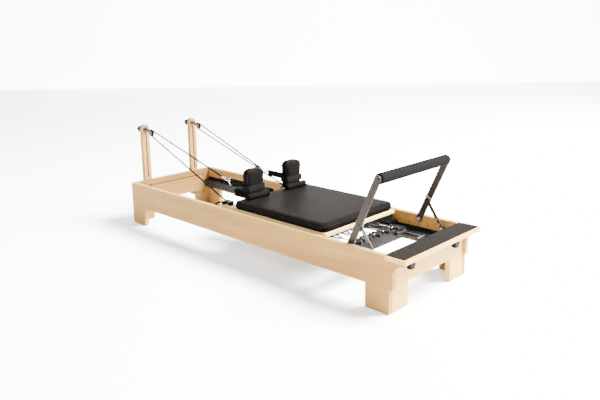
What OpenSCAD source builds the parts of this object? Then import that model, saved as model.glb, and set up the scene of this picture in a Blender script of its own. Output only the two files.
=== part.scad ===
// Sprung exercise carriage on a low timber frame, with a folding foot bar, a standing platform
// and two rope pulleys on head posts. Millimetres, +Z up. X runs from the head end to the foot
// end, Y runs across the frame, and the origin is the centre of the footprint on the floor.

/* [Frame] */
// Width over both side rails
frame_width = 680; // [660:5:700]
// Length of the timber frame from the head face to the foot legs
frame_length = 2205; // [2180:5:2240]
// Height of the rail tops above the floor
rail_top = 285; // [280:1:290]
// Height of the rail undersides above the floor
rail_bottom = 125; // [115:1:135]
// Thickness of rails and end boards
board_t = 28; // [25:1:30]
// Length of the head legs along the rails
head_leg = 148; // [120:1:180]
// Length of the foot legs along the rails
foot_leg = 142; // [120:1:170]
// Width of each leg seen from the end
leg_width = 152; // [150:1:170]

/* [Platform] */
// How far the platform reaches past the foot legs
platform_overhang = 88; // [80:1:95]
// Thickness of the platform board
platform_t = 22; // [18:1:24]

/* [Carriage] */
// Thickness of the carriage pad
pad_t = 45; // [38:1:50]
// Thickness of the headrest pad
headrest_t = 40; // [30:1:42]
// Distance of each shoulder rest from the middle
shoulder_y = 158; // [154:1:166]
// Radius of the carriage wheels
wheel_r = 24; // [22:0.5:24]
// Distance between neighbouring springs
spring_pitch = 80; // [60:1:90]

/* [Foot bar] */
// Lean of the foot bar from upright, in degrees
bar_lean = 25; // [23:0.5:27]
// Length of the foot bar arms between centres
arm_length = 398; // [380:1:420]
// Diameter of the padded grip
grip_d = 54; // [46:1:60]

/* [Head posts] */
// Height of the post tops above the rail tops
post_height = 392; // [370:1:410]
// Distance of each post from the middle
post_y = 201; // [198:1:206]
// Radius of the pulley sheaves
sheave_r = 23; // [22:0.5:24]
// Diameter of the ropes
rope_d = 6.5; // [6:0.25:7]

/* [Hidden] */
$fn = 64;

// Cuts run this far past the faces they open.
eps = 1;
// Radial clearance of a turning fit.
run_gap = 0.05;

// Frame lines
half_w = frame_width / 2;
inner_y = half_w - board_t;
post_t = 30;
knob_stem = 20;
knob_head = 28;
head_x = (post_t + knob_stem + knob_head - frame_length - platform_overhang) / 2;
leg_x = head_x + frame_length;
tip_x = leg_x + platform_overhang;
foot_pad_t = 4;
nose_x = leg_x + 17;
shelf_z = rail_top - platform_t;
shelf_x = leg_x - 33;
cove_r = tip_x - 5 - nose_x;
cove_z = shelf_z - 6 - cove_r;

// Rows of blind holes in the rails' inner faces
adjust_x = head_x + 1795;
adjust_pitch = 65;
adjust_z = 232;
adjust_r = 5;
adjust_deep = 12;

// Tracks
track_w = 46;
track_bottom = 150;
track_top = 200;
track_flange_t = 4;
track_flange_top = 216;
track_in_y = inner_y - track_w;

// Posts and their fixings
post_w = 58;
post_foot_z = 95;
post_top_z = rail_top + post_height;
slot_w = 9;
slot_low_z = rail_top + 16;
eye_z = post_top_z - 37;
bolt_r = 3.5;
bolt_head_r = 6;
bolt_head_t = 3;
bolt_zs = [rail_bottom - 14, rail_bottom + 118];
bolt_ys = [post_y, inner_y - 56];

// Pulleys: eye, block and sheave
eye_x = head_x + 24;
eye_ring_r = 8;
eye_wire_r = 2.5;
eye_rod_r = 4;
eye_pin_r = 5;
sheave_x = head_x + 72;
sheave_z = eye_z - 16;
sheave_w = 12;
sheave_axle_r = 4;
rope_r = rope_d / 2;
rope_wrap_r = sheave_r - 3;
cheek_y = sheave_w / 2 + 1;
cheek_t = 2;
cheek_len = norm([sheave_x - eye_x, sheave_z - eye_z]);
cheek_turn = atan2(sheave_z - eye_z, sheave_x - eye_x);

// Foot bar pivots, arms, props and pegs
pivot_x = head_x + 1937;
pivot_z = rail_top - 18;
pivot_r = 8;
pin_deep = 12;
arm_w = 36;
arm_end_r = 18.5;
arm_t = 8;
arm_out_y = inner_y - 8;
arm_in_y = arm_out_y - arm_t;
bar_x = pivot_x + arm_length * sin(bar_lean);
bar_z = pivot_z + arm_length * cos(bar_lean);
bar_tube_r = 16;
prop_t = 6;
prop_out_y = arm_in_y - 1.5;
prop_in_y = prop_out_y - prop_t;
prop_pin_r = 5;
peg_r = 5;
peg_x = head_x + 2087;
peg_z = rail_top - 43;
prop_top_d = 129;
prop_top_x = pivot_x + prop_top_d * sin(bar_lean);
prop_top_z = pivot_z + prop_top_d * cos(bar_lean);
prop_len = norm([peg_x - prop_top_x, peg_z - prop_top_z]);
prop_turn = atan2(peg_z - prop_top_z, peg_x - prop_top_x);
prop_low = -7;
prop_high = 11;
prop_tip = 17;
notch_r = peg_r + 0.5;
notch_pitch = 28;
// Way a notch leaves its peg as the foot bar folds, in the prop's own directions.
fold_turn = atan2(peg_z - pivot_z, peg_x - pivot_x) - 90 - prop_turn;
fold_way = [cos(fold_turn), sin(fold_turn)];
fold_side = [-fold_way[1], fold_way[0]];

// Carriage lines
board_x0 = head_x + 1030;
board_x1 = head_x + 1775;
board_half = inner_y - 20;
board_z0 = 270;
board_z1 = 288;
ear_x0 = head_x + 925;
ear_w = 60;
pad_x0 = head_x + 1042;
pad_x1 = head_x + 1773;
pad_half = inner_y - 5;
pad_top = board_z1 + pad_t;
pad_corner = 42;
pad_step = 7;
plate_y0 = inner_y - 37;
plate_y1 = plate_y0 + 4;
plate_z0 = 206;
plate_x0 = head_x + 1035;
plate_x1 = head_x + 1770;
cross_z0 = 250;
wheel_xs = [head_x + 1075, head_x + 1745];
wheel_z = track_top + wheel_r + 0.3;
wheel_y0 = inner_y - 30;
wheel_y1 = inner_y - 8;
axle_r = 5;

// Springs
spring_z = 232;
spring_r = 14;
spring_bore_r = 10.5;
spring_x0 = head_x + 1300;
spring_x1 = head_x + 1768;
anchor_x0 = head_x + 1274;
anchor_x1 = head_x + 1290;
shank_r = 5;
bar_pin_x = head_x + 1848;
bar_pin_r = 6;
hook_ring_r = 9.5;
hook_ring_wire = 2.5;
spring_bar_x0 = head_x + 1792;
spring_bar_x1 = head_x + 1872;
spring_bar_top = 212;

// Pull handle on the spring bar
handle_x = head_x + 1884;
handle_z = 200;
handle_y0 = 168;
handle_y1 = 242;
handle_len = 128;
handle_r = 5;
handle_pin_r = 4;

// Headrest and its hinge
hinge_x = head_x + 1020;
hinge_z = 279;
hinge_pin_r = 3;
hinge_ys = [34, 64];
rest_x0 = head_x + 785;
rest_x1 = head_x + 1009;
rest_half = 90;
rest_board_t = 12;

// Shoulder rests
shoulder_x0 = head_x + 1048;
shoulder_t = 54;
shoulder_w = 137;
shoulder_waist = 128;
shoulder_top = 512;
shoulder_corner = 45;
shoulder_foot = pad_top + 0.4;
dowel_r = 8;
dowel_dy = 40;
roll_r = 19;
roll_l = 164;

// Hand straps and their rings
strap_z0 = pad_top + 2 * roll_r + 6;
strap_w = 36;
strap_t = 3;
strap_gap = 0.4;
strap_fork_x = head_x + 986;
strap_in_y = shoulder_waist / 2 + strap_gap;
strap_in_x0 = shoulder_x0 - strap_gap;
strap_in_x1 = shoulder_x0 + shoulder_t + strap_gap;
ring_x = head_x + 866;
ring_z = strap_z0 + strap_w / 2;
ring_wire_r = 2;
ring_r = 22;

// Snap hooks point from the rings to the tops of the sheaves.
tie_x = ring_x - ring_r;
tie_step = [sheave_x - tie_x, post_y - shoulder_y, sheave_z + rope_wrap_r - ring_z];
tie_turn = atan2(tie_step[1], -tie_step[0]);
tie_rise = asin(tie_step[2] / norm(tie_step));
tie_way = [-cos(tie_rise) * cos(tie_turn), cos(tie_rise) * sin(tie_turn), sin(tie_rise)];
snap_w = 8;
snap_wire_r = 2.2;
snap_bend_x = 3.5;
snap_end_x = 42;
snap_nose_x = 9;
snap_eye_x = 62;
snap_eye_r = 6;
snap_l = snap_eye_x + snap_eye_r + 3;
gate_pin_x = 38;
gate_pin_r = 1.2;
gate_wire_r = 1.4;

// Rope cleats
cleat_x = head_x + 982;
cleat_y = inner_y - 50;
cleat_r = 12;
cleat_top = 311;
clamp_x0 = head_x + 927;
clamp_x1 = head_x + 948;
lay_z = 300;
lay_r = cleat_r + rope_r + 0.4;
lay_in_y = cleat_y - lay_r;
lay_out_y = cleat_y + lay_r;

// Route of one rope: snap hook, sheave, clamp, round the cleat, clamp, free tail.
wrap_steps = 16;
lay_steps = 10;
wrap_from = 90 - atan2(sheave_z - ring_z, tie_x - sheave_x);
wrap_to = 270 - atan2(sheave_z - lay_z, clamp_x0 - sheave_x);
rope_start = [tie_x, shoulder_y, ring_z] + snap_l * tie_way;
rope_top = [sheave_x + rope_wrap_r * cos(wrap_from), post_y,
    sheave_z + rope_wrap_r * sin(wrap_from)];
rope_line = rope_top - rope_start;
sleeve_share = 0.085;
rope_route = concat(
    [rope_start, rope_start + sleeve_share * rope_line,
        rope_start + (sleeve_share + 0.004) * rope_line],
    [for (i = [0 : wrap_steps])
        let (a = wrap_from + (wrap_to - wrap_from) * i / wrap_steps)
        [sheave_x + rope_wrap_r * cos(a), post_y, sheave_z + rope_wrap_r * sin(a)]],
    [[clamp_x0 - 34, lay_in_y - 1, lay_z + 9],
        [clamp_x0 - 14, lay_in_y, lay_z + 2],
        [clamp_x0 - 3, lay_in_y, lay_z]],
    [for (i = [0 : lay_steps])
        let (a = 180 * i / lay_steps - 90)
        [cleat_x + lay_r * cos(a), cleat_y + lay_r * sin(a), lay_z]],
    [[clamp_x0 - 3, lay_out_y, lay_z],
        [clamp_x0 - 18, lay_out_y + 1, lay_z - 2],
        [clamp_x0 - 42, lay_out_y + 3, lay_z - 10],
        [clamp_x0 - 64, lay_out_y + 5, lay_z - 23],
        [clamp_x0 - 80, lay_out_y + 6, lay_z - 38]]);
sleeve_grow = 1.6;
rope_radii = [for (i = [0 : len(rope_route) - 1]) i < 2 ? rope_r + sleeve_grow : rope_r];

// Foot knobs
foot_knob_y = 200;
foot_knob_z = rail_top - 70;
foot_rod_r = 5;

// Colours
maple = [0.87, 0.76, 0.60];
birch = [0.95, 0.90, 0.78];
black = [0.13, 0.13, 0.13];
vinyl = [0.24, 0.23, 0.22];
dark_steel = [0.20, 0.20, 0.21];
pewter = [0.44, 0.41, 0.39];
chrome = [0.80, 0.80, 0.82];
webbing = [0.16, 0.16, 0.17];
cord = [0.30, 0.29, 0.28];

// ---------------------------------------------------------------- shared shapes

function unit(v) = v / norm(v);

// Direction of a route at point i.
function route_way(p, i) = unit(p[min(i + 1, len(p) - 1)] - p[max(i - 1, 0)]);

// A copy on the far side (+Y), or its mirror image on the near side (-Y).
module on_side(far) {
    if (far) {
        children();
    } else {
        mirror([0, 1, 0]) children();
    }
}

module on_both_sides() {
    on_side(true) children();
    on_side(false) children();
}

module block(x0, x1, y0, y1, z0, z1) {
    translate([x0, y0, z0]) cube([x1 - x0, y1 - y0, z1 - z0]);
}

// A round bar along X from x0 to x1.
module bar_along_x(x0, x1, y, z, r) {
    translate([x0, y, z]) rotate([0, 90, 0]) cylinder(r = r, h = x1 - x0);
}

// A round bar along Y from y0 to y1.
module bar_along_y(x, z, r, y0, y1) {
    translate([x, y1, z]) rotate([90, 0, 0]) cylinder(r = r, h = y1 - y0);
}

// An outline in X and Z, made solid from y0 to y1.
module slab_across(y0, y1) {
    translate([0, y1, 0]) rotate([90, 0, 0]) linear_extrude(y1 - y0) children();
}

// A flat slab with round corners.
module rounded_slab(x0, x1, half_y, z0, z1, r) {
    block(x0 + r, x1 - r, -half_y, half_y, z0, z1);
    block(x0, x1, r - half_y, half_y - r, z0, z1);
    for (x = [x0 + r, x1 - r], s = [-1, 1]) {
        translate([x, s * (half_y - r), z0]) cylinder(r = r, h = z1 - z0);
    }
}

// A round tube swept along a route, with its own radius at each point.
module swept_tube(p, radii, sides) {
    lean = unit([0, 1, 1]);
    rings = [for (i = [0 : len(p) - 1])
        let (t = route_way(p, i), side = unit(cross(t, lean)), up = cross(side, t))
        for (k = [0 : sides - 1])
            p[i] + radii[i] * (cos(360 * k / sides) * up + sin(360 * k / sides) * side)];
    walls = [for (i = [0 : len(p) - 2], k = [0 : sides - 1])
        let (a = i * sides + k, b = i * sides + (k + 1) % sides)
        each [[a, a + sides, b + sides], [a, b + sides, b]]];
    first_cap = [for (k = [0 : sides - 1]) k];
    last_cap = [for (k = [sides - 1 : -1 : 0]) (len(p) - 1) * sides + k];
    polyhedron(points = rings, faces = concat([first_cap], walls, [last_cap]), convexity = 10);
}

// Knob with round lobes behind a stem. It faces -X from x = 0.
module star_knob(r, stem) {
    lobes = 6;
    end_x = -stem - knob_head;
    bar_along_x(end_x, 0, 0, 0, r * 0.46);
    bar_along_x(end_x, -stem, 0, 0, r * 0.76);
    for (i = [0 : lobes - 1]) {
        bar_along_x(end_x + 2, -stem - 2, r * 0.70 * cos(60 * i), r * 0.70 * sin(60 * i),
            r * 0.30);
    }
}

// ---------------------------------------------------------------- timber frame

module side_rail_outline() {
    difference() {
        polygon([
            [head_x, foot_pad_t], [head_x + head_leg, foot_pad_t],
            [head_x + head_leg, rail_bottom], [leg_x - foot_leg, rail_bottom],
            [leg_x - foot_leg, foot_pad_t], [leg_x, foot_pad_t], [leg_x, rail_bottom],
            [nose_x, rail_bottom], [nose_x, cove_z], [nose_x + cove_r, cove_z],
            [nose_x + cove_r, shelf_z], [shelf_x, shelf_z], [shelf_x, rail_top],
            [head_x, rail_top]]);
        translate([nose_x + cove_r + 0.5, cove_z]) circle(r = cove_r);
    }
}

module side_rail() {
    difference() {
        slab_across(inner_y, half_w) side_rail_outline();
        for (i = [0 : 3]) {
            bar_along_y(adjust_x + i * adjust_pitch, adjust_z, adjust_r, inner_y - eps,
                inner_y + adjust_deep);
        }
        bar_along_y(pivot_x, pivot_z, pivot_r, inner_y - eps, inner_y + pin_deep);
        bar_along_y(peg_x, peg_z, peg_r, inner_y - eps, inner_y + pin_deep);
    }
}

module side_rail_near() {
    color(maple) on_side(false) side_rail();
}

module side_rail_far() {
    color(maple) on_side(true) side_rail();
}

// An end board on two legs.
module end_board(x0, top_z) {
    difference() {
        block(x0, x0 + board_t, -inner_y, inner_y, foot_pad_t, top_z);
        block(x0 - eps, x0 + board_t + eps, leg_width - half_w, half_w - leg_width,
            foot_pad_t - eps, rail_bottom);
    }
}

module head_board() {
    color(birch) difference() {
        end_board(head_x, rail_top);
        for (y = bolt_ys, z = bolt_zs, s = [-1, 1]) {
            bar_along_x(head_x - eps, head_x + board_t + eps, s * y, z, bolt_r);
        }
    }
}

module foot_board() {
    color(birch) difference() {
        end_board(leg_x - board_t, shelf_z);
        for (s = [-1, 1]) {
            bar_along_x(leg_x - board_t - eps, leg_x + eps, s * foot_knob_y, foot_knob_z,
                foot_rod_r + run_gap);
        }
    }
}

module foot_pads() {
    color(black) on_both_sides() {
        block(head_x + 6, head_x + head_leg - 6, inner_y + 3, half_w - 3, 0, foot_pad_t);
        block(leg_x - foot_leg + 6, leg_x - 6, inner_y + 3, half_w - 3, 0, foot_pad_t);
        block(head_x + 3, head_x + board_t - 3, half_w - leg_width + 6, inner_y - 3, 0,
            foot_pad_t);
        block(leg_x - board_t + 3, leg_x - 3, half_w - leg_width + 6, inner_y - 3, 0,
            foot_pad_t);
    }
}

module track() {
    x0 = head_x + board_t;
    x1 = x0 + frame_length - 2 * board_t;
    block(x0, x1, track_in_y, inner_y, track_bottom, track_top);
    block(x0, x1, inner_y - track_flange_t, inner_y, track_top + 0.05, track_flange_top);
}

module track_near() {
    color(dark_steel) on_side(false) track();
}

module track_far() {
    color(dark_steel) on_side(true) track();
}

module platform() {
    color(birch) block(shelf_x, tip_x, -half_w, half_w, shelf_z, rail_top);
}

module platform_mat() {
    color(vinyl) block(shelf_x + 2, tip_x - 10, 8 - half_w, half_w - 8, rail_top, rail_top + 3);
}

// Rubber buffers that the carriage rests against at the foot end.
module carriage_stops() {
    color(black) on_both_sides()
        block(plate_x1 + 0.5, plate_x1 + 18, track_in_y + 4, inner_y - 6, track_top, 232);
}

// ---------------------------------------------------------------- head posts

module post() {
    difference() {
        union() {
            block(head_x - post_t, head_x, post_y - post_w / 2, post_y + post_w / 2,
                post_foot_z, post_top_z - post_w / 2);
            bar_along_x(head_x - post_t, head_x, post_y, post_top_z - post_w / 2, post_w / 2);
        }
        block(head_x - post_t - eps, head_x + eps, post_y - slot_w / 2, post_y + slot_w / 2,
            slot_low_z, eye_z + 8);
        for (z = [slot_low_z, eye_z + 8]) {
            bar_along_x(head_x - post_t - eps, head_x + eps, post_y, z, slot_w / 2);
        }
        for (z = bolt_zs) {
            bar_along_x(head_x - post_t - eps, head_x + eps, post_y, z, bolt_r);
        }
    }
}

module post_near() {
    color(maple) on_side(false) post();
}

module post_far() {
    color(maple) on_side(true) post();
}

// One through bolt with a head at each end.
module through_bolt(x0, x1, y, z) {
    bar_along_x(x0, x1, y, z, bolt_r);
    bar_along_x(x0 - bolt_head_t, x0, y, z, bolt_head_r);
    bar_along_x(x1, x1 + bolt_head_t, y, z, bolt_head_r);
}

module post_bolts() {
    color(dark_steel) on_both_sides() for (z = bolt_zs) {
        through_bolt(head_x - post_t, head_x + board_t, bolt_ys[0], z);
        through_bolt(head_x, head_x + board_t, bolt_ys[1], z);
    }
}

// Eyebolts through the post slots, with wide washers on the foot side.
module pulley_eyebolts() {
    color(chrome) on_both_sides() {
        bar_along_x(head_x - post_t - 26, eye_x - eye_ring_r, post_y, eye_z, eye_rod_r);
        bar_along_x(head_x, head_x + 3, post_y, eye_z, 21);
        bar_along_x(head_x + 3, head_x + 9, post_y, eye_z, 9);
        translate([eye_x, post_y, eye_z]) rotate([90, 0, 0]) rotate_extrude()
            translate([eye_ring_r, 0]) circle(r = eye_wire_r, $fn = 32);
    }
}

// Two cheeks on an axle, held to the eye by a cross pin.
module pulley_block() {
    axle_y = cheek_y + cheek_t + 2;
    for (y0 = [-cheek_y - cheek_t, cheek_y]) {
        slab_across(post_y + y0, post_y + y0 + cheek_t) {
            translate([eye_x, eye_z]) circle(r = 8);
            translate([sheave_x, sheave_z]) circle(r = 17);
            translate([eye_x, eye_z]) rotate(cheek_turn) translate([0, -7])
                square([cheek_len, 14]);
        }
    }
    bar_along_y(eye_x, eye_z, eye_pin_r, post_y - axle_y, post_y + axle_y);
    bar_along_y(sheave_x, sheave_z, sheave_axle_r, post_y - axle_y, post_y + axle_y);
}

module pulley_block_near() {
    color(chrome) on_side(false) pulley_block();
}

module pulley_block_far() {
    color(chrome) on_side(true) pulley_block();
}

// Grooved wheel on the block's axle.
module sheave() {
    groove_r = rope_r + 0.35;
    translate([sheave_x, post_y, sheave_z]) rotate([90, 0, 0]) rotate_extrude()
        difference() {
            translate([sheave_axle_r + run_gap, -sheave_w / 2])
                square([sheave_r - sheave_axle_r - run_gap, sheave_w]);
            translate([rope_wrap_r, 0]) circle(r = groove_r);
            polygon([[rope_wrap_r, -groove_r], [sheave_r + eps, -sheave_w / 2 + 1],
                [sheave_r + eps, sheave_w / 2 - 1], [rope_wrap_r, groove_r]]);
        }
}

module sheave_near() {
    color(black) on_side(false) sheave();
}

module sheave_far() {
    color(black) on_side(true) sheave();
}

module post_knob() {
    translate([head_x - post_t, post_y, eye_z]) difference() {
        translate([-0.3, 0, 0]) star_knob(22, knob_stem - 0.3);
        bar_along_x(-28, eps, 0, 0, eye_rod_r + run_gap);
    }
}

module post_knob_near() {
    color(black) on_side(false) post_knob();
}

module post_knob_far() {
    color(black) on_side(true) post_knob();
}

// Knob on a rod through the foot board, with a collar on the inner face.
module foot_knob() {
    translate([leg_x + 0.3, foot_knob_y, foot_knob_z]) {
        mirror([1, 0, 0]) star_knob(24, 7);
        bar_along_x(-board_t - 8, 1, 0, 0, foot_rod_r);
        bar_along_x(-board_t - 8, -board_t - 1, 0, 0, foot_rod_r + 4);
    }
}

module foot_knob_near() {
    color(black) on_side(false) foot_knob();
}

module foot_knob_far() {
    color(black) on_side(true) foot_knob();
}

// ---------------------------------------------------------------- spring bar

// Cross bar with five hook pins and a hinge for the pull handle. It hangs on the track lips.
module spring_bar() {
    lug_ys = [handle_y0 - 10, handle_y1 + 3];
    color(dark_steel) {
        block(spring_bar_x0, spring_bar_x1, 2 - track_in_y, track_in_y - 2, 158,
            spring_bar_top);
        on_both_sides() block(spring_bar_x0 + 4, spring_bar_x1 - 4, track_in_y - 6,
            track_in_y + 18, track_top + 3, spring_bar_top - 2);
        for (i = [-2 : 2]) {
            translate([bar_pin_x, i * spring_pitch, spring_bar_top - 2])
                cylinder(r = bar_pin_r, h = 34);
            translate([bar_pin_x, i * spring_pitch, spring_bar_top + 28])
                cylinder(r = bar_pin_r + 2, h = 5);
        }
        for (i = [0 : 5]) {
            y0 = (i - 2.5) * spring_pitch;
            slab_across(y0 - 7, y0 + 7) polygon([
                [spring_bar_x0, spring_bar_top - 2], [spring_bar_x1, spring_bar_top - 2],
                [spring_bar_x1, spring_bar_top + 5], [spring_bar_x1 - 9, spring_bar_top + 20],
                [spring_bar_x1 - 15, spring_bar_top + 7], [spring_bar_x0, spring_bar_top + 7]]);
        }
        for (y0 = lug_ys) {
            block(spring_bar_x1 - 1, handle_x + 7, y0, y0 + 7, handle_z - 8, handle_z + 8);
        }
        bar_along_y(handle_x, handle_z, handle_pin_r, lug_ys[0] + 1, lug_ys[1] + 6);
    }
}

module spring_bar_handle() {
    end_x = handle_x + handle_len;
    color(black) difference() {
        union() {
            for (y = [handle_y0, handle_y1 - 10]) {
                bar_along_y(handle_x, handle_z, 9, y, y + 10);
                bar_along_x(handle_x + 5, end_x, y + 5, handle_z, handle_r);
                translate([end_x, y + 5, handle_z]) sphere(r = handle_r);
            }
            bar_along_y(end_x, handle_z, handle_r, handle_y0 + 5, handle_y1 - 5);
        }
        bar_along_y(handle_x, handle_z, handle_pin_r + run_gap, handle_y0 - eps,
            handle_y1 + eps);
    }
}

// Toothed plates that place the spring bar along the tracks.
module gear_racks() {
    tooth = 12;
    rack_x = head_x + 1878;
    color(dark_steel) on_both_sides() slab_across(inner_y - 26, inner_y - 14) {
        translate([rack_x, track_top]) square([6 * tooth, 8]);
        for (i = [0 : 5]) {
            translate([rack_x + i * tooth, track_top + 7])
                polygon([[1, 0], [tooth - 1, 0], [tooth - 3, 8], [4, 8]]);
        }
    }
}

// ---------------------------------------------------------------- carriage

module carriage_board() {
    color(birch) difference() {
        union() {
            block(board_x0, board_x1, -board_half, board_half, board_z0, board_z1);
            on_both_sides()
                block(ear_x0, board_x0 + 1, board_half - ear_w, board_half, board_z0, board_z1);
        }
        dowel_holes(board_z0 - eps, board_z1 + eps, dowel_r);
    }
}

module dowel_holes(z0, z1, r) {
    for (s = [-1, 1], d = [-dowel_dy, dowel_dy]) {
        translate([shoulder_x0 + shoulder_t / 2, s * shoulder_y + d, z0])
            cylinder(r = r, h = z1 - z0);
    }
}

module carriage_pad() {
    color(vinyl) difference() {
        union() {
            rounded_slab(pad_x0, pad_x1, pad_half, board_z1, pad_top - pad_step, pad_corner);
            rounded_slab(pad_x0 + pad_step, pad_x1 - pad_step, pad_half - pad_step,
                pad_top - pad_step - 1, pad_top, pad_corner - pad_step);
        }
        dowel_holes(board_z1 - eps, pad_top + eps, dowel_r + 1);
    }
}

// Side plates with axles, cross bars, the spring anchor bar and the headrest brackets.
module carriage_chassis() {
    color(dark_steel) {
        on_both_sides() {
            block(plate_x0, plate_x1, plate_y0, plate_y1, plate_z0, board_z0);
            for (x = wheel_xs) {
                bar_along_y(x, wheel_z, axle_r, plate_y0 + 1, wheel_y1 + 3);
                bar_along_y(x, wheel_z, axle_r + 3, plate_y1 - 1, wheel_y0 - 0.4);
                bar_along_y(x, wheel_z, axle_r + 2.5, wheel_y1 + 0.4, wheel_y1 + 3);
            }
        }
        for (x = [plate_x0 + 20, head_x + 1420, plate_x1 - 45]) {
            block(x, x + 25, -plate_y0 - 1, plate_y0 + 1, cross_z0, board_z0);
        }
        difference() {
            block(anchor_x0, anchor_x1, -plate_y0 - 1, plate_y0 + 1, 220, 244);
            for (i = [-2 : 2]) {
                bar_along_x(anchor_x0 - eps, anchor_x1 + eps, i * spring_pitch, spring_z,
                    shank_r + 0.2);
            }
        }
        on_both_sides() for (y = hinge_ys) {
            headrest_bracket(y);
        }
        on_both_sides() bar_along_y(hinge_x, hinge_z, hinge_pin_r, hinge_ys[0] + 1,
            hinge_ys[1] + 7);
    }
}

// Bracket under the board that carries the hinge pin and the level headrest.
module headrest_bracket(y) {
    block(hinge_x - 32, plate_x0 + 40, y, y + 8, board_z0 - 8, board_z0);
    block(hinge_x - 32, hinge_x + 7, y, y + 8, board_z0 - 1, hinge_z - 3.2);
    block(hinge_x - 6, hinge_x + 7, y, y + 8, board_z0 - 1, hinge_z + 6);
}

module rope_cleats() {
    color(dark_steel) on_both_sides() {
        translate([cleat_x, cleat_y, board_z1]) cylinder(r = cleat_r, h = cleat_top - board_z1);
        translate([cleat_x, cleat_y, lay_z + rope_r + 1.2])
            cylinder(r = cleat_r + 7, h = cleat_top - lay_z - rope_r - 1.2);
        difference() {
            block(clamp_x0, clamp_x1, lay_in_y - 8, lay_out_y + 8, board_z1, lay_z + 9);
            for (y = [lay_in_y, lay_out_y]) {
                bar_along_x(clamp_x0 - eps, clamp_x1 + eps, y, lay_z, rope_r + 0.4);
            }
        }
    }
}

// ---------------------------------------------------------------- shoulder rests and straps

module shoulder_outline() {
    half = shoulder_w / 2;
    neck = shoulder_waist / 2;
    shoulder_z = shoulder_top - shoulder_corner;
    polygon([
        [-half, shoulder_foot], [half, shoulder_foot], [half, strap_z0 - 10],
        [neck, strap_z0 - 2], [neck, strap_z0 + strap_w + 2], [half, strap_z0 + strap_w + 24],
        [half, shoulder_z], [half - shoulder_corner, shoulder_z],
        [half - shoulder_corner, shoulder_top], [shoulder_corner - half, shoulder_top],
        [shoulder_corner - half, shoulder_z], [-half, shoulder_z],
        [-half, strap_z0 + strap_w + 24], [-neck, strap_z0 + strap_w + 2],
        [-neck, strap_z0 - 2], [-half, strap_z0 - 10]]);
    for (s = [-1, 1]) {
        translate([s * (half - shoulder_corner), shoulder_z]) circle(r = shoulder_corner);
    }
}

// Upright rest with a bolster along the foot side of its base.
module shoulder_pad() {
    difference() {
        union() {
            translate([shoulder_x0, shoulder_y, 0]) rotate([90, 0, 90])
                linear_extrude(shoulder_t) shoulder_outline();
            bar_along_y(shoulder_x0 + shoulder_t + roll_r - 6, shoulder_foot + roll_r, roll_r,
                shoulder_y - roll_l / 2, shoulder_y + roll_l / 2);
        }
        dowel_holes(shoulder_foot - eps, pad_top + 60, dowel_r);
    }
}

module shoulder_pad_near() {
    color(vinyl) on_side(false) shoulder_pad();
}

module shoulder_pad_far() {
    color(vinyl) on_side(true) shoulder_pad();
}

module shoulder_dowels() {
    color(dark_steel) dowel_holes(board_z0, pad_top + 58, dowel_r);
}

module strap_plan() {
    difference() {
        union() {
            translate([ring_x, shoulder_y]) circle(r = ring_wire_r + 3.3);
            translate([0, shoulder_y]) polygon([
                [ring_x, -strap_t], [strap_fork_x, -strap_t],
                [strap_in_x0 - 1, -strap_in_y - strap_t],
                [strap_in_x1 + strap_t, -strap_in_y - strap_t],
                [strap_in_x1 + strap_t, strap_in_y + strap_t],
                [strap_in_x0 - 1, strap_in_y + strap_t], [strap_fork_x, strap_t],
                [ring_x, strap_t]]);
        }
        translate([ring_x, shoulder_y]) circle(r = ring_wire_r + 0.3);
        translate([0, shoulder_y]) polygon([
            [strap_fork_x + 5, 0], [strap_in_x0, -strap_in_y], [strap_in_x1, -strap_in_y],
            [strap_in_x1, strap_in_y], [strap_in_x0, strap_in_y]]);
    }
}

module hand_strap_near() {
    color(webbing) on_side(false) translate([0, 0, strap_z0])
        linear_extrude(strap_w) strap_plan();
}

module hand_strap_far() {
    color(webbing) on_side(true) translate([0, 0, strap_z0])
        linear_extrude(strap_w) strap_plan();
}

// D-shaped rings with their straight bars through the strap ends.
module strap_rings() {
    color(chrome) on_both_sides() translate([ring_x, shoulder_y, ring_z]) {
        translate([0, 0, -ring_r]) cylinder(r = ring_wire_r, h = 2 * ring_r);
        rotate([90, 0, 0]) rotate([0, 0, 90]) rotate_extrude(angle = 180)
            translate([ring_r, 0]) circle(r = ring_wire_r, $fn = 32);
        for (s = [-1, 1]) {
            translate([0, 0, s * ring_r]) sphere(r = ring_wire_r);
        }
    }
}

// Places a snap hook so that its own +X runs up the rope.
module on_tie() {
    translate([tie_x, shoulder_y, ring_z]) rotate([0, -tie_rise, 180 - tie_turn]) children();
}

// A round wire bend in the hook's plane.
module wire_bend(x, r, wire_r, from, sweep) {
    translate([x, 0, 0]) rotate([0, 0, from]) rotate_extrude(angle = sweep)
        translate([r, 0]) circle(r = wire_r, $fn = 32);
}

module snap_hook() {
    wire_bend(snap_bend_x, snap_w, snap_wire_r, 90, 180);
    bar_along_x(snap_bend_x, snap_end_x, -snap_w, 0, snap_wire_r);
    bar_along_x(snap_bend_x, snap_nose_x, snap_w, 0, snap_wire_r);
    wire_bend(snap_end_x, snap_w, snap_wire_r, -90, 150);
    bar_along_x(snap_end_x + snap_w - 1, snap_eye_x - snap_eye_r, 0, 0, 3.4);
    wire_bend(snap_eye_x, snap_eye_r, 2, 0, 360);
    for (z0 = [-3.2, 1.6]) {
        translate([gate_pin_x, snap_w, z0]) cylinder(r = 3.4, h = 1.6);
        translate([gate_pin_x, snap_w - 2.6, z0]) cube([9, 5, 1.6]);
    }
    translate([gate_pin_x, snap_w, -3]) cylinder(r = gate_pin_r, h = 6);
}

module snap_hook_near() {
    color(chrome) on_side(false) on_tie() snap_hook();
}

module snap_hook_far() {
    color(chrome) on_side(true) on_tie() snap_hook();
}

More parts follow.
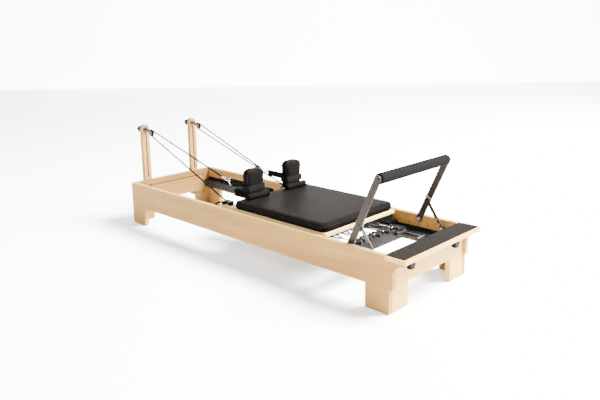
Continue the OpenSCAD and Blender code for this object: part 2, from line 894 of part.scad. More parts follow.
module snap_gate() {
    difference() {
        union() {
            translate([gate_pin_x, snap_w, -1.3]) cylinder(r = 3.2, h = 2.6);
            bar_along_x(snap_nose_x + 0.5, gate_pin_x - 2, snap_w, 0, gate_wire_r);
        }
        translate([gate_pin_x, snap_w, -3]) cylinder(r = gate_pin_r + run_gap, h = 6);
    }
}

module snap_gate_near() {
    color(chrome) on_side(false) on_tie() snap_gate();
}

module snap_gate_far() {
    color(chrome) on_side(true) on_tie() snap_gate();
}

// ---------------------------------------------------------------- springs, ropes and wheels

// Coil shown as a tube, with a shank in the anchor bar and a ring round a hook pin.
module spring(i) {
    y = (i - 3) * spring_pitch;
    color(chrome) {
        difference() {
            bar_along_x(spring_x0, spring_x1, y, spring_z, spring_r);
            bar_along_x(spring_x0 + 6, spring_x1 - 6, y, spring_z, spring_bore_r);
        }
        bar_along_x(anchor_x0, spring_x0 + 1, y, spring_z, shank_r);
        bar_along_x(spring_x1 - 1, bar_pin_x - hook_ring_r, y, spring_z, shank_r - 1.5);
        translate([bar_pin_x, y, spring_z]) rotate_extrude()
            translate([hook_ring_r, 0]) circle(r = hook_ring_wire, $fn = 32);
    }
}

module spring_1() {
    spring(1);
}

module spring_2() {
    spring(2);
}

module spring_3() {
    spring(3);
}

module spring_4() {
    spring(4);
}

module spring_5() {
    spring(5);
}

module rope_near() {
    color(cord) on_side(false) swept_tube(rope_route, rope_radii, 10);
}

module rope_far() {
    color(cord) on_side(true) swept_tube(rope_route, rope_radii, 10);
}

module wheel(x) {
    difference() {
        bar_along_y(x, wheel_z, wheel_r, wheel_y0, wheel_y1);
        bar_along_y(x, wheel_z, axle_r + run_gap, wheel_y0 - eps, wheel_y1 + eps);
        difference() {
            bar_along_y(x, wheel_z, wheel_r - 5, wheel_y1 - 4, wheel_y1 + eps);
            bar_along_y(x, wheel_z, axle_r + 4, wheel_y1 - 5, wheel_y1 + 2 * eps);
        }
    }
}

module wheel_head_near() {
    color(black) on_side(false) wheel(wheel_xs[0]);
}

module wheel_head_far() {
    color(black) on_side(true) wheel(wheel_xs[0]);
}

module wheel_foot_near() {
    color(black) on_side(false) wheel(wheel_xs[1]);
}

module wheel_foot_far() {
    color(black) on_side(true) wheel(wheel_xs[1]);
}

// ---------------------------------------------------------------- headrest

module headrest_pad() {
    z0 = board_z1;
    color(vinyl) {
        rounded_slab(rest_x0, rest_x1, rest_half, z0, z0 + headrest_t - 6, 22);
        rounded_slab(rest_x0 + 6, rest_x1 - 6, rest_half - 6, z0 + headrest_t - 7,
            z0 + headrest_t, 16);
    }
}

// Board under the pad, with two hinge knuckles.
module headrest_board() {
    y0 = hinge_ys[0] + 8.3;
    y1 = hinge_ys[1] - 0.3;
    color(birch) difference() {
        union() {
            block(rest_x0 + 10, rest_x1 - 1, 10 - rest_half, rest_half - 10,
                board_z1 - rest_board_t, board_z1);
            on_both_sides() {
                bar_along_y(hinge_x, hinge_z, 6, y0, y1);
                block(rest_x1 - 2, hinge_x, y0, y1, hinge_z - 3, hinge_z + 4);
            }
        }
        on_both_sides()
            bar_along_y(hinge_x, hinge_z, hinge_pin_r + run_gap, y0 - eps, y1 + eps);
    }
}

// ---------------------------------------------------------------- foot bar

module footbar_arm() {
    difference() {
        slab_across(arm_in_y, arm_out_y) {
            translate([pivot_x, pivot_z]) circle(r = arm_end_r);
            translate([bar_x, bar_z]) circle(r = arm_end_r);
            translate([pivot_x, pivot_z]) rotate(90 - bar_lean) translate([0, -arm_w / 2])
                square([arm_length, arm_w]);
        }
        bar_along_y(pivot_x, pivot_z, pivot_r + run_gap, arm_in_y - eps, arm_out_y + eps);
    }
    bar_along_y(prop_top_x, prop_top_z, prop_pin_r, prop_in_y - 2, arm_in_y + 1);
    bar_along_y(prop_top_x, prop_top_z, prop_pin_r + 3, prop_in_y - 4, prop_in_y - 0.4);
    bar_along_y(prop_top_x, prop_top_z, prop_pin_r + 2, arm_out_y - 1, arm_out_y + 2);
    bar_along_y((prop_top_x + bar_x) / 2, (prop_top_z + bar_z) / 2, 5, arm_in_y - 2,
        arm_out_y + 2);
}

module footbar_arms() {
    color(pewter) on_both_sides() footbar_arm();
}

// Tube between the arms, with a bolt head outside each arm.
module footbar_tube() {
    color(pewter) {
        difference() {
            bar_along_y(bar_x, bar_z, bar_tube_r, -arm_in_y, arm_in_y);
            bar_along_y(bar_x, bar_z, bar_tube_r - 3, -arm_in_y + 6, arm_in_y - 6);
        }
        on_both_sides() bar_along_y(bar_x, bar_z, 10, arm_out_y, arm_out_y + 4);
    }
}

module footbar_grip() {
    end_y = arm_in_y - 5;
    color(black) difference() {
        bar_along_y(bar_x, bar_z, grip_d / 2, -end_y, end_y);
        bar_along_y(bar_x, bar_z, bar_tube_r + run_gap, -end_y - eps, end_y + eps);
    }
}

// Pivot pins and prop pegs, all set in blind holes in the side rails.
module footbar_pins() {
    color(dark_steel) on_both_sides() {
        bar_along_y(pivot_x, pivot_z, pivot_r, arm_in_y - 3, inner_y + pin_deep);
        bar_along_y(pivot_x, pivot_z, pivot_r + 5, arm_out_y + 0.4, inner_y);
        bar_along_y(pivot_x, pivot_z, pivot_r + 4, arm_in_y - 6, arm_in_y - 0.4);
        bar_along_y(peg_x, peg_z, peg_r, prop_in_y - 4, inner_y + pin_deep);
        bar_along_y(peg_x, peg_z, peg_r + 4, prop_out_y + 1, inner_y);
    }
}

// Open notch round a peg at the given distance along the prop.
module prop_notch(d) {
    translate([d, 0]) {
        circle(r = notch_r);
        polygon([[-notch_r, 0], [-notch_r, -50], 50 * fold_way + [0, -50],
            50 * fold_way + notch_r * fold_side, notch_r * fold_side]);
    }
}

// Notched strut that hangs from the arm and stands on its peg.
module prop() {
    difference() {
        slab_across(prop_in_y, prop_out_y) translate([prop_top_x, prop_top_z])
            rotate(prop_turn) difference() {
                union() {
                    translate([0, prop_low]) square([prop_len + prop_tip, prop_high - prop_low]);
                    circle(r = 12);
                }
                for (i = [0 : 2]) {
                    prop_notch(prop_len - i * notch_pitch);
                }
            }
        bar_along_y(prop_top_x, prop_top_z, prop_pin_r + run_gap, prop_in_y - eps,
            prop_out_y + eps);
    }
}

module prop_near() {
    color(pewter) on_side(false) prop();
}

module prop_far() {
    color(pewter) on_side(true) prop();
}

side_rail_near();
side_rail_far();
head_board();
foot_board();
foot_pads();
track_near();
track_far();
platform();
platform_mat();
post_near();
post_far();
post_bolts();
pulley_eyebolts();
pulley_block_near();
pulley_block_far();
spring_bar();
gear_racks();
footbar_pins();
carriage_stops();
carriage_board();
carriage_pad();
carriage_chassis();
rope_cleats();
shoulder_pad_near();
shoulder_pad_far();
shoulder_dowels();
hand_strap_near();
hand_strap_far();
strap_rings();
snap_hook_near();
snap_hook_far();
spring_1();
spring_2();
spring_3();
spring_4();
spring_5();
rope_near();
rope_far();
wheel_head_near();
wheel_head_far();
wheel_foot_near();
wheel_foot_far();
headrest_pad();
headrest_board();
footbar_arms();
footbar_tube();
footbar_grip();
prop_near();
prop_far();
sheave_near();
sheave_far();
post_knob_near();
post_knob_far();
foot_knob_near();
foot_knob_far();
spring_bar_handle();
snap_gate_near();
snap_gate_far();
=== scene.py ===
# Looks for the pilates reformer: soft goods, coils, ropes, materials, light and camera.
# Everything is in metres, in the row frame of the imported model.
import math

import bmesh
import bpy
from mathutils import Matrix, Vector
from mathutils.bvhtree import BVHTree


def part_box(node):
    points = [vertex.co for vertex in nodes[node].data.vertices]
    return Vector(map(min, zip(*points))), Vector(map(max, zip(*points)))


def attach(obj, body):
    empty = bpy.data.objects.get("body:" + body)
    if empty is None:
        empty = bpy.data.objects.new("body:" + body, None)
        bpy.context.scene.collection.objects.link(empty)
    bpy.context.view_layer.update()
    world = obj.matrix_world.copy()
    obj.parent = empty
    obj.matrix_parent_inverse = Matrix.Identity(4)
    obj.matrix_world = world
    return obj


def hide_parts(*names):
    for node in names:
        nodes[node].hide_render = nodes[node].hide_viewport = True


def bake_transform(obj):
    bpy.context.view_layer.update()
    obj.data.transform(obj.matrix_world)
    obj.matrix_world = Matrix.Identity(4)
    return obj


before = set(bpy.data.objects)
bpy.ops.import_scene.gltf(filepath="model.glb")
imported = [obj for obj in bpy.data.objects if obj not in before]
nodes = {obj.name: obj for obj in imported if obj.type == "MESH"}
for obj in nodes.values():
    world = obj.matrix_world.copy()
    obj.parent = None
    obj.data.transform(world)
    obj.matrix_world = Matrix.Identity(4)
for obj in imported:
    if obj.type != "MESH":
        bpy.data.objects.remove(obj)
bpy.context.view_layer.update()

SIDES = {"near": -1.0, "far": 1.0}
THREAD_STEP = 0.006          # spacing of the points along seams and straps
REST_THICK = 0.054           # a shoulder rest's cushion, head to foot
FOOTBAR_PIVOT = Vector((0.8295, 0, 0.267))


# ---------------------------------------------------------------- camera, light and floor

def add_camera():
    """A slightly rolled camera off the foot end's near corner, above the height of the foot bar."""
    place = Vector((2.7425, -2.589, 1.323))
    yaw, pitch, roll = (math.radians(a) for a in (134.43, 10.93, -1.01))
    forward = Vector((math.cos(pitch) * math.cos(yaw), math.cos(pitch) * math.sin(yaw), -math.sin(pitch)))
    right = Vector((math.sin(yaw), -math.cos(yaw), 0.0))
    up = right.cross(forward)
    side = math.cos(roll) * right + math.sin(roll) * up
    top = -math.sin(roll) * right + math.cos(roll) * up
    data = bpy.data.cameras.new("camera")
    data.sensor_width = 36.0
    data.lens = 38.16
    data.shift_y = -0.083
    data.clip_end = 60.0
    cam = bpy.data.objects.new("camera", data)
    bpy.context.scene.collection.objects.link(cam)
    turn = Matrix((side, top, -forward)).transposed().to_4x4()
    cam.matrix_world = Matrix.Translation(place) @ turn
    bpy.context.scene.camera = cam


def add_light(name, place, target, size, power, colour=(1, 1, 1)):
    data = bpy.data.lights.new(name, "AREA")
    data.shape = "RECTANGLE"
    data.size, data.size_y = size
    data.energy = power
    data.color = colour
    light = bpy.data.objects.new(name, data)
    bpy.context.scene.collection.objects.link(light)
    light.location = place
    light.rotation_euler = (Vector(target) - Vector(place)).to_track_quat("-Z", "Y").to_euler()


def add_world(strength):
    world = bpy.data.worlds.new("world")
    bpy.context.scene.world = world
    world.use_nodes = True
    ground = world.node_tree.nodes.get("Background") or world.node_tree.nodes.new("ShaderNodeBackground")
    ground.inputs["Color"].default_value = (1.0, 0.995, 0.985, 1.0)
    ground.inputs["Strength"].default_value = strength


# ---------------------------------------------------------------- materials

class Shader:
    """A material with short calls for the nodes it is made of."""

    def __init__(self, name, colour, rough, metal=0.0, coat=0.0, coat_rough=0.1, spec=0.5, sheen=0.0):
        self.mat = bpy.data.materials.new(name)
        self.mat.use_nodes = True
        self.tree = self.mat.node_tree
        self.tree.nodes.clear()
        self.out = self.add("ShaderNodeOutputMaterial")
        self.bsdf = self.add("ShaderNodeBsdfPrincipled")
        self.tree.links.new(self.bsdf.outputs[0], self.out.inputs[0])
        values = {"Base Color": (*colour, 1.0), "Roughness": rough, "Metallic": metal, "Coat Weight": coat,
                  "Coat Roughness": coat_rough, "Specular IOR Level": spec, "Sheen Weight": sheen}
        for key, value in values.items():
            self.bsdf.inputs[key].default_value = value
        self.height = None

    def add(self, kind, **sockets):
        node = self.tree.nodes.new(kind)
        for key, value in sockets.items():
            node.inputs[key].default_value = value
        return node

    def link(self, a, b):
        self.tree.links.new(a, b)

    def coords(self, scale, turn=(0, 0, 0), source="Object"):
        tex = self.add("ShaderNodeTexCoord")
        mapping = self.add("ShaderNodeMapping", Scale=scale, Rotation=turn)
        self.link(tex.outputs[source], mapping.inputs["Vector"])
        return mapping.outputs[0]

    def noise(self, scale, detail=4.0, rough=0.5, stretch=(1, 1, 1), distort=0.0):
        node = self.add("ShaderNodeTexNoise", Scale=scale, Detail=detail, Roughness=rough, Distortion=distort)
        self.link(self.coords(stretch), node.inputs["Vector"])
        return node.outputs["Fac"]

    def ramp(self, fac, stops):
        node = self.tree.nodes.new("ShaderNodeValToRGB")
        while len(node.color_ramp.elements) < len(stops):
            node.color_ramp.elements.new(0.5)
        for element, (place, colour) in zip(node.color_ramp.elements, stops):
            element.position = place
            element.color = (*colour, 1.0) if len(colour) == 3 else colour
        self.link(fac, node.inputs["Fac"])
        return node.outputs["Color"]

    def math(self, kind, a, b):
        node = self.tree.nodes.new("ShaderNodeMath")
        node.operation = kind
        for socket, value in ((node.inputs[0], a), (node.inputs[1], b)):
            if isinstance(value, (int, float)):
                socket.default_value = value
            else:
                self.link(value, socket)
        return node.outputs[0]

    def mix(self, fac, a, b, kind="MIX"):
        node = self.tree.nodes.new("ShaderNodeMix")
        node.data_type = "RGBA"
        node.blend_type = kind
        for socket, value in ((node.inputs["Factor"], fac), (node.inputs["A"], a), (node.inputs["B"], b)):
            if isinstance(value, (int, float)):
                socket.default_value = value
            elif isinstance(value, tuple):
                socket.default_value = (*value, 1.0)
            else:
                self.link(value, socket)
        return next(o for o in node.outputs if o.type == "RGBA")

    def colour(self, value):
        self.link(value, self.bsdf.inputs["Base Color"])

    def rough(self, fac, low, high):
        node = self.add("ShaderNodeMapRange")
        node.inputs["To Min"].default_value = low
        node.inputs["To Max"].default_value = high
        self.link(fac, node.inputs["Value"])
        self.link(node.outputs[0], self.bsdf.inputs["Roughness"])

    def bump(self, height, depth, strength=1.0):
        node = self.add("ShaderNodeBump", Strength=strength, Distance=depth)
        self.link(height, node.inputs["Height"])
        if self.height is not None:
            self.link(self.height, node.inputs["Normal"])
        self.height = node.outputs[0]
        self.link(self.height, self.bsdf.inputs["Normal"])

    def edge_tone(self, radius, base, tone, amount):
        """Shifts the convex edges to another tone; on the pewter this lighter edge is a painted highlight."""
        node = self.tree.nodes.new("ShaderNodeBevel")
        node.samples = 4
        node.inputs["Radius"].default_value = radius
        geometry = self.tree.nodes.new("ShaderNodeNewGeometry")
        dot = self.tree.nodes.new("ShaderNodeVectorMath")
        dot.operation = "DOT_PRODUCT"
        self.link(node.outputs[0], dot.inputs[0])
        self.link(geometry.outputs["Normal"], dot.inputs[1])
        edge_wear_and_highlight = self.math("MULTIPLY", self.math("SUBTRACT", 1.0, dot.outputs["Value"]), amount)
        return self.mix(edge_wear_and_highlight, base, tone)


def wood(name, grain, light, dark, coat=0.04):
    """Pale lacquered wood with its grain along one axis: 0 is X, 1 is Y and 2 is Z."""
    s = Shader(name, light, 0.55, coat=coat, coat_rough=0.35, spec=0.12)
    along = [9.0, 9.0, 9.0]
    along[grain] = 0.55
    fine = [240.0, 240.0, 240.0]
    fine[grain] = 5.0
    figure = s.noise(1.0, detail=5.0, rough=0.55, stretch=tuple(along), distort=1.2)
    rings = s.add("ShaderNodeTexWave", Scale=1.0, Distortion=5.0, Detail=3.0)
    rings.wave_type = "BANDS"
    rings.bands_direction = "Y" if grain != 1 else "Z"
    stretch = [13.0, 13.0, 13.0]
    stretch[grain] = 0.9
    s.link(s.coords(tuple(stretch)), rings.inputs["Vector"])
    rings.inputs["Detail Scale"].default_value = 1.4
    fibre = s.noise(1.0, detail=2.0, stretch=tuple(fine))
    tone = s.ramp(figure, [(0.30, dark), (0.62, light)])
    lines = s.ramp(rings.outputs["Fac"], [(0.0, (0.90, 0.87, 0.83)), (0.55, (1.0, 1.0, 1.0))])
    pores = s.ramp(fibre, [(0.36, (0.86, 0.82, 0.77)), (0.52, (1.0, 1.0, 1.0))])
    blend = s.mix(0.45, tone, s.mix(1.0, tone, lines, "MULTIPLY"))
    blend = s.mix(0.40, blend, s.mix(1.0, blend, pores, "MULTIPLY"))
    flame = s.noise(2.2, detail=2.0, stretch=(1, 1, 1))
    blend = s.mix(s.math("MULTIPLY", flame, 0.16), blend, dark)
    s.colour(s.edge_tone(0.0025, blend, tuple(min(1.0, c * 1.10) for c in light), 1.6))
    s.rough(fibre, 0.48, 0.62)
    s.bump(fibre, 0.00018, 0.35)
    s.bump(figure, 0.0006, 0.12)
    return s.mat


def vinyl(name, colour=(0.0026, 0.0022, 0.0020)):
    """Matt upholstery vinyl with a fine pebbled grain."""
    s = Shader(name, colour, 0.62, spec=0.002, sheen=0.001)
    s.bsdf.inputs["Sheen Roughness"].default_value = 0.45
    cells = s.add("ShaderNodeTexVoronoi", Scale=620.0)
    cells.feature = "F1"
    s.link(s.coords((1, 1, 1)), cells.inputs["Vector"])
    fine = s.noise(1500.0, detail=3.0)
    broad = s.noise(7.0, detail=4.0, rough=0.6)
    s.colour(s.mix(s.ramp(broad, [(0.35, (0, 0, 0)), (0.7, (1, 1, 1))]), colour,
                   tuple(c * 1.5 for c in colour)))
    s.rough(broad, 0.40, 0.54)
    s.bump(cells.outputs["Distance"], 0.00035, 0.5)
    s.bump(fine, 0.00012, 0.4)
    s.bump(broad, 0.0015, 0.18)
    return s.mat


def rubber(name, colour=(0.004, 0.004, 0.004), rough=0.62, grain=900.0):
    """Dull rubber or foam with a fine speck and a little dust."""
    s = Shader(name, colour, rough, spec=0.008)
    speck = s.noise(grain, detail=3.0)
    dust = s.noise(18.0, detail=5.0, rough=0.65)
    s.colour(s.mix(s.math("MULTIPLY", dust, 0.35), colour, tuple(c * 2.0 + 0.002 for c in colour)))
    s.rough(dust, rough - 0.08, rough + 0.10)
    s.bump(speck, 0.0003, 0.5)
    return s.mat


def ribbed_mat(name):
    """Standing mat: a close weave of ribs in dark rubber."""
    s = Shader(name, (0.006, 0.0054, 0.0048), 0.88, spec=0.004)
    ribs = s.add("ShaderNodeTexWave", Scale=1.0)
    ribs.bands_direction = "X"
    s.link(s.coords((150.0, 1, 1)), ribs.inputs["Vector"])
    cross = s.add("ShaderNodeTexWave", Scale=1.0)
    cross.bands_direction = "Y"
    s.link(s.coords((1, 150.0, 1)), cross.inputs["Vector"])
    weave = s.math("MULTIPLY", ribs.outputs["Fac"], cross.outputs["Fac"])
    scuff = s.noise(24.0, detail=5.0, rough=0.65)
    base = s.mix(weave, (0.0035, 0.003, 0.0026), (0.0075, 0.0066, 0.0058))
    s.colour(s.mix(s.math("MULTIPLY", scuff, 0.3), base, (0.013, 0.012, 0.0105)))
    s.rough(scuff, 0.6, 0.82)
    s.bump(weave, 0.0006, 0.7)
    return s.mat


def coated(name, colour, rough=0.42, metal=0.0, edge_wear_and_highlight=(0.12, 0.12, 0.125), amount=0.8):
    """Powder-coated steel with a light orange peel and lighter edges: rubbed wear on the black steel, a
    painted highlight on the pewter.
    """
    s = Shader(name, colour, rough, metal=metal, spec=0.12)
    peel = s.noise(420.0, detail=2.0)
    rub = s.noise(30.0, detail=5.0, rough=0.7)
    base = s.mix(s.math("MULTIPLY", rub, 0.35), colour, tuple(c * 1.5 + 0.004 for c in colour))
    s.colour(s.edge_tone(0.0012, base, edge_wear_and_highlight, amount))
    s.rough(rub, rough - 0.08, rough + 0.12)
    s.bump(peel, 0.00012, 0.35)
    return s.mat


def polished(name, colour=(0.80, 0.80, 0.82), rough=0.12):
    """Chrome or zinc with hairline scratches and faint smears."""
    s = Shader(name, colour, rough, metal=1.0)
    hair = s.noise(1.0, detail=3.0, stretch=(60, 900, 900))
    smear = s.noise(45.0, detail=4.0, rough=0.6)
    s.colour(s.mix(s.math("MULTIPLY", smear, 0.22), colour, tuple(c * 0.72 for c in colour)))
    s.rough(smear, rough * 0.7, rough * 2.0)
    s.bump(hair, 0.00005, 0.3)
    return s.mat


def woven(name, colour, scale, lift=1.8):
    """Webbing or cord cover: two crossed sets of threads over the piece's own UVs."""
    s = Shader(name, colour, 0.9, spec=0.008, sheen=0.002)
    s.bsdf.inputs["Sheen Roughness"].default_value = 0.5
    waves = []
    for turn in (0.785, -0.785):
        wave = s.add("ShaderNodeTexWave", Scale=1.0, Distortion=0.4)
        wave.bands_direction = "X"
        s.link(s.coords(scale, turn=(0, 0, turn), source="UV"), wave.inputs["Vector"])
        waves.append(wave.outputs["Fac"])
    weave = s.math("MAXIMUM", waves[0], waves[1])
    fuzz = s.noise(1400.0, detail=3.0)
    dark = tuple(c * 0.45 for c in colour)
    s.colour(s.mix(weave, dark, tuple(min(1.0, c * lift) for c in colour)))
    s.rough(fuzz, 0.72, 0.92)
    s.bump(weave, 0.0006, 0.8)
    s.bump(fuzz, 0.0002, 0.4)
    return s.mat


def moulded(name, colour=(0.0035, 0.0035, 0.0038), rough=0.42):
    """Moulded plastic with a fine grain and rubbed edges."""
    s = Shader(name, colour, rough, spec=0.03)
    grain = s.noise(1200.0, detail=2.0)
    rub = s.noise(40.0, detail=4.0, rough=0.6)
    base = s.mix(s.math("MULTIPLY", rub, 0.3), colour, tuple(c * 1.9 for c in colour))
    s.colour(s.edge_tone(0.0010, base, tuple(c * 4 + 0.01 for c in colour), 0.7))
    s.rough(rub, rough - 0.06, rough + 0.12)
    s.bump(grain, 0.0001, 0.35)
    return s.mat


LIGHT_WOOD = (0.275, 0.150, 0.035)
DARK_WOOD = (0.200, 0.102, 0.022)
PALE_WOOD = (0.48, 0.292, 0.074)
PALE_DARK = (0.385, 0.222, 0.055)
M = {
    "rail_wood": wood("rail_wood", 0, LIGHT_WOOD, DARK_WOOD),
    "post_wood": wood("post_wood", 2, (0.245, 0.130, 0.034), (0.18, 0.088, 0.021)),
    "board_wood": wood("board_wood", 1, PALE_WOOD, PALE_DARK),
    # The head board's wood is a darker copy of the rail wood: painted shade for that board, which stands in
    # shade at the head end.
    "head_wood_painted_shade": wood("head_wood_painted_shade", 1, (0.155, 0.078, 0.019), (0.112, 0.052, 0.011)),
    "edge_wood": wood("edge_wood", 1, (0.66, 0.50, 0.23), (0.56, 0.40, 0.15)),
    "vinyl": vinyl("vinyl"),
    "rubber": rubber("rubber"),
    "foam": rubber("foam", (0.0030, 0.0030, 0.0030), 0.85, 1600.0),
    "mat": ribbed_mat("mat"),
    "black_steel": coated("black_steel", (0.0032, 0.0032, 0.0034), 0.46, edge_wear_and_highlight=(0.06, 0.06, 0.06)),
    # The pewter's lighter edges are a painted highlight along the foot bar and the far prop.
    "pewter": coated("pewter", (0.0165, 0.0132, 0.0110), 0.38, metal=0.6, edge_wear_and_highlight=(0.07, 0.062, 0.056),
                     amount=1.0),
    "chrome": polished("chrome", (0.50, 0.50, 0.51), 0.16),
    "zinc": polished("zinc", (0.28, 0.27, 0.26), 0.30),
    "dark_bolt": polished("dark_bolt", (0.045, 0.040, 0.037), 0.34),
    "webbing": woven("webbing", (0.0028, 0.0028, 0.003), (360.0, 360.0, 1.0)),
    "cord": woven("cord", (0.0028, 0.0026, 0.0025), (420.0, 420.0, 1.0), 2.4),
    "thread": woven("thread", (0.010, 0.009, 0.009), (900.0, 900.0, 1.0)),
    "knob": moulded("knob"),
    "bronze": polished("bronze", (0.075, 0.058, 0.046), 0.28),
    "prop_steel": polished("prop_steel", (0.055, 0.049, 0.044), 0.30),
    "spring_steel": polished("spring_steel", (0.045, 0.043, 0.042), 0.34),
    "wheel": moulded("wheel", (0.016, 0.016, 0.017), 0.48),
}


# ---------------------------------------------------------------- mesh helpers

def paint(obj, key):
    """One material on the whole piece, in place of those it came with."""
    obj.data.materials.clear()
    obj.data.materials.append(M[key])
    return obj


def smooth(obj, angle=35.0):
    for face in obj.data.polygons:
        face.use_smooth = True
    obj.data.set_sharp_from_angle(angle=math.radians(angle))
    return obj


def soften(name, width):
    """Rounds a CAD node's sharp edges for the render, leaving its mesh as it is."""
    obj = nodes[name]
    weld = obj.modifiers.new("weld", "WELD")
    weld.merge_threshold = 0.00002
    bevel = obj.modifiers.new("bevel", "BEVEL")
    bevel.width = width
    bevel.segments = 2
    bevel.limit_method = "ANGLE"
    bevel.angle_limit = math.radians(40.0)
    bevel.harden_normals = True
    bevel.use_clamp_overlap = True


def new_mesh(name, verts, faces, key=None, uvs=None):
    mesh = bpy.data.meshes.new(name)
    mesh.from_pydata([tuple(v) for v in verts], [], faces)
    if uvs is not None:
        layer = mesh.uv_layers.new(name="UVMap")
        for loop in mesh.loops:
            layer.data[loop.index].uv = uvs[loop.index]
    mesh.validate()
    obj = bpy.data.objects.new(name, mesh)
    bpy.context.scene.collection.objects.link(obj)
    if key:
        paint(obj, key)
    return obj


def sweep(name, path, profile, key, closed=False, lean=(0, 1, 1), width_at=None):
    """Sweeps a closed profile of (across, up) points along a path, with UVs in metres."""
    n, k = len(path), len(profile)
    path = [Vector(p) for p in path]
    lean = Vector(lean).normalized()
    verts, lengths = [], [0.0]
    for i in range(n):
        if closed:
            way = path[(i + 1) % n] - path[i - 1]
        else:
            way = path[min(i + 1, n - 1)] - path[max(i - 1, 0)]
        way.normalize()
        side = way.cross(lean).normalized()
        up = side.cross(way)
        grow = width_at(i) if width_at else 1.0
        verts += [path[i] + (a * side + b * up) * grow for a, b in profile]
        if i:
            lengths.append(lengths[-1] + (path[i] - path[i - 1]).length)
    round_up = [0.0]
    for j in range(1, k + 1):
        a, b = profile[j - 1], profile[j % k]
        round_up.append(round_up[-1] + math.dist(a, b))
    faces, uvs = [], []
    last = n if closed else n - 1
    for i in range(last):
        i2 = (i + 1) % n
        v0 = lengths[i]
        v1 = lengths[i + 1] if i + 1 < n else lengths[-1] + (path[0] - path[-1]).length
        for j in range(k):
            j2 = (j + 1) % k
            faces.append((i * k + j, i * k + j2, i2 * k + j2, i2 * k + j))
            uvs += [(round_up[j], v0), (round_up[j + 1], v0), (round_up[j + 1], v1), (round_up[j], v1)]
    if not closed:
        faces.append(tuple(range(k - 1, -1, -1)))
        uvs += [(0.0, 0.0)] * k
        faces.append(tuple((n - 1) * k + j for j in range(k)))
        uvs += [(0.0, 0.0)] * k
    obj = new_mesh(name, verts, faces, key, uvs)
    recalc(obj)
    return smooth(obj, 50.0)


def recalc(obj):
    """Turns every face outward."""
    bm = bmesh.new()
    bm.from_mesh(obj.data)
    bmesh.ops.recalc_face_normals(bm, faces=bm.faces)
    bm.to_mesh(obj.data)
    bm.free()


def ring_profile(radius, sides):
    return [(radius * math.cos(2 * math.pi * i / sides), radius * math.sin(2 * math.pi * i / sides))
            for i in range(sides)]


def band_profile(thick, width, corner=0.0006):
    """A flat band's section: thick across the path, width along the lean direction."""
    a, b = thick / 2, width / 2
    points = []
    for sx, sy, start in ((1, 1, 0), (-1, 1, 90), (-1, -1, 180), (1, -1, 270)):
        for step in (0, 45, 90):
            t = math.radians(start + step)
            points.append((sx * (a - corner) + corner * math.cos(t),
                           sy * (b - corner) + corner * math.sin(t)))
    return points


def lathe(name, place, axis, profile, key, steps=48):
    """Turns (radius, height) points round an axis through a place."""
    turn = Vector((0, 0, 1)).rotation_difference(Vector(axis)).to_matrix()
    verts, faces = [], []
    k = len(profile)
    for i in range(steps):
        a = 2 * math.pi * i / steps
        for r, h in profile:
            verts.append(Vector(place) + turn @ Vector((r * math.cos(a), r * math.sin(a), h)))
    for i in range(steps):
        i2 = (i + 1) % steps
        for j in range(k - 1):
            faces.append((i * k + j, i2 * k + j, i2 * k + j + 1, i * k + j + 1))
    obj = new_mesh(name, verts, faces, key)
    bm = bmesh.new()
    bm.from_mesh(obj.data)
    bmesh.ops.remove_doubles(bm, verts=bm.verts, dist=1e-6)
    bmesh.ops.recalc_face_normals(bm, faces=bm.faces)
    bm.to_mesh(obj.data)
    bm.free()
    return smooth(obj)


def join(name, parts):
    """Joins pieces into the first one, under a new name."""
    bpy.ops.object.select_all(action="DESELECT")
    for part in parts:
        part.select_set(True)
    bpy.context.view_layer.objects.active = parts[0]
    bpy.ops.object.join()
    parts[0].name = name
    parts[0].data.name = name
    return parts[0]


def arc(centre, radius, start, sweep_by, steps, plane="xz"):
    """Points on an arc, in degrees, in the XZ or XY plane."""
    points = []
    for i in range(steps + 1):
        a = math.radians(start + sweep_by * i / steps)
        c, s = radius * math.cos(a), radius * math.sin(a)
        points.append(Vector(centre) + (Vector((c, 0, s)) if plane == "xz" else Vector((c, s, 0))))
    return points


def between(a, b, steps):
    """Points from a to b, without b itself."""
    a, b = Vector(a), Vector(b)
    return [a + (b - a) * (i / steps) for i in range(steps)]


def from_bmesh(name, bm, key=None):
    mesh = bpy.data.meshes.new(name)
    bm.to_mesh(mesh)
    bm.free()
    obj = bpy.data.objects.new(name, mesh)
    bpy.context.scene.collection.objects.link(obj)
    if key:
        paint(obj, key)
    return obj


def apply_all(obj):
    """Replaces the mesh by its modified shape."""
    depsgraph = bpy.context.evaluated_depsgraph_get()
    mesh = bpy.data.meshes.new_from_object(obj.evaluated_get(depsgraph))
    obj.modifiers.clear()
    old = obj.data
    obj.data = mesh
    bpy.data.meshes.remove(old)
    return obj


def slab(name, outline, low, high, round_by, axis="z"):
    """A closed slab from an outline, with rounded rims. The outline's plane is XY, or YZ for axis x."""
    bm = bmesh.new()
    place = (lambda p, h: (p[0], p[1], h)) if axis == "z" else (lambda p, h: (h, p[0], p[1]))
    bottom = [bm.verts.new(place(p, low)) for p in outline]
    top = [bm.verts.new(place(p, high)) for p in outline]
    bm.faces.new(list(reversed(bottom)))
    bm.faces.new(top)
    for i in range(len(outline)):
        j = (i + 1) % len(outline)
        bm.faces.new((bottom[i], bottom[j], top[j], top[i]))
    bmesh.ops.recalc_face_normals(bm, faces=bm.faces)
    obj = from_bmesh(name, bm)
    bevel = obj.modifiers.new("rim", "BEVEL")
    bevel.width = round_by
    bevel.segments = 4
    bevel.limit_method = "ANGLE"
    bevel.angle_limit = math.radians(50)
    return apply_all(obj)


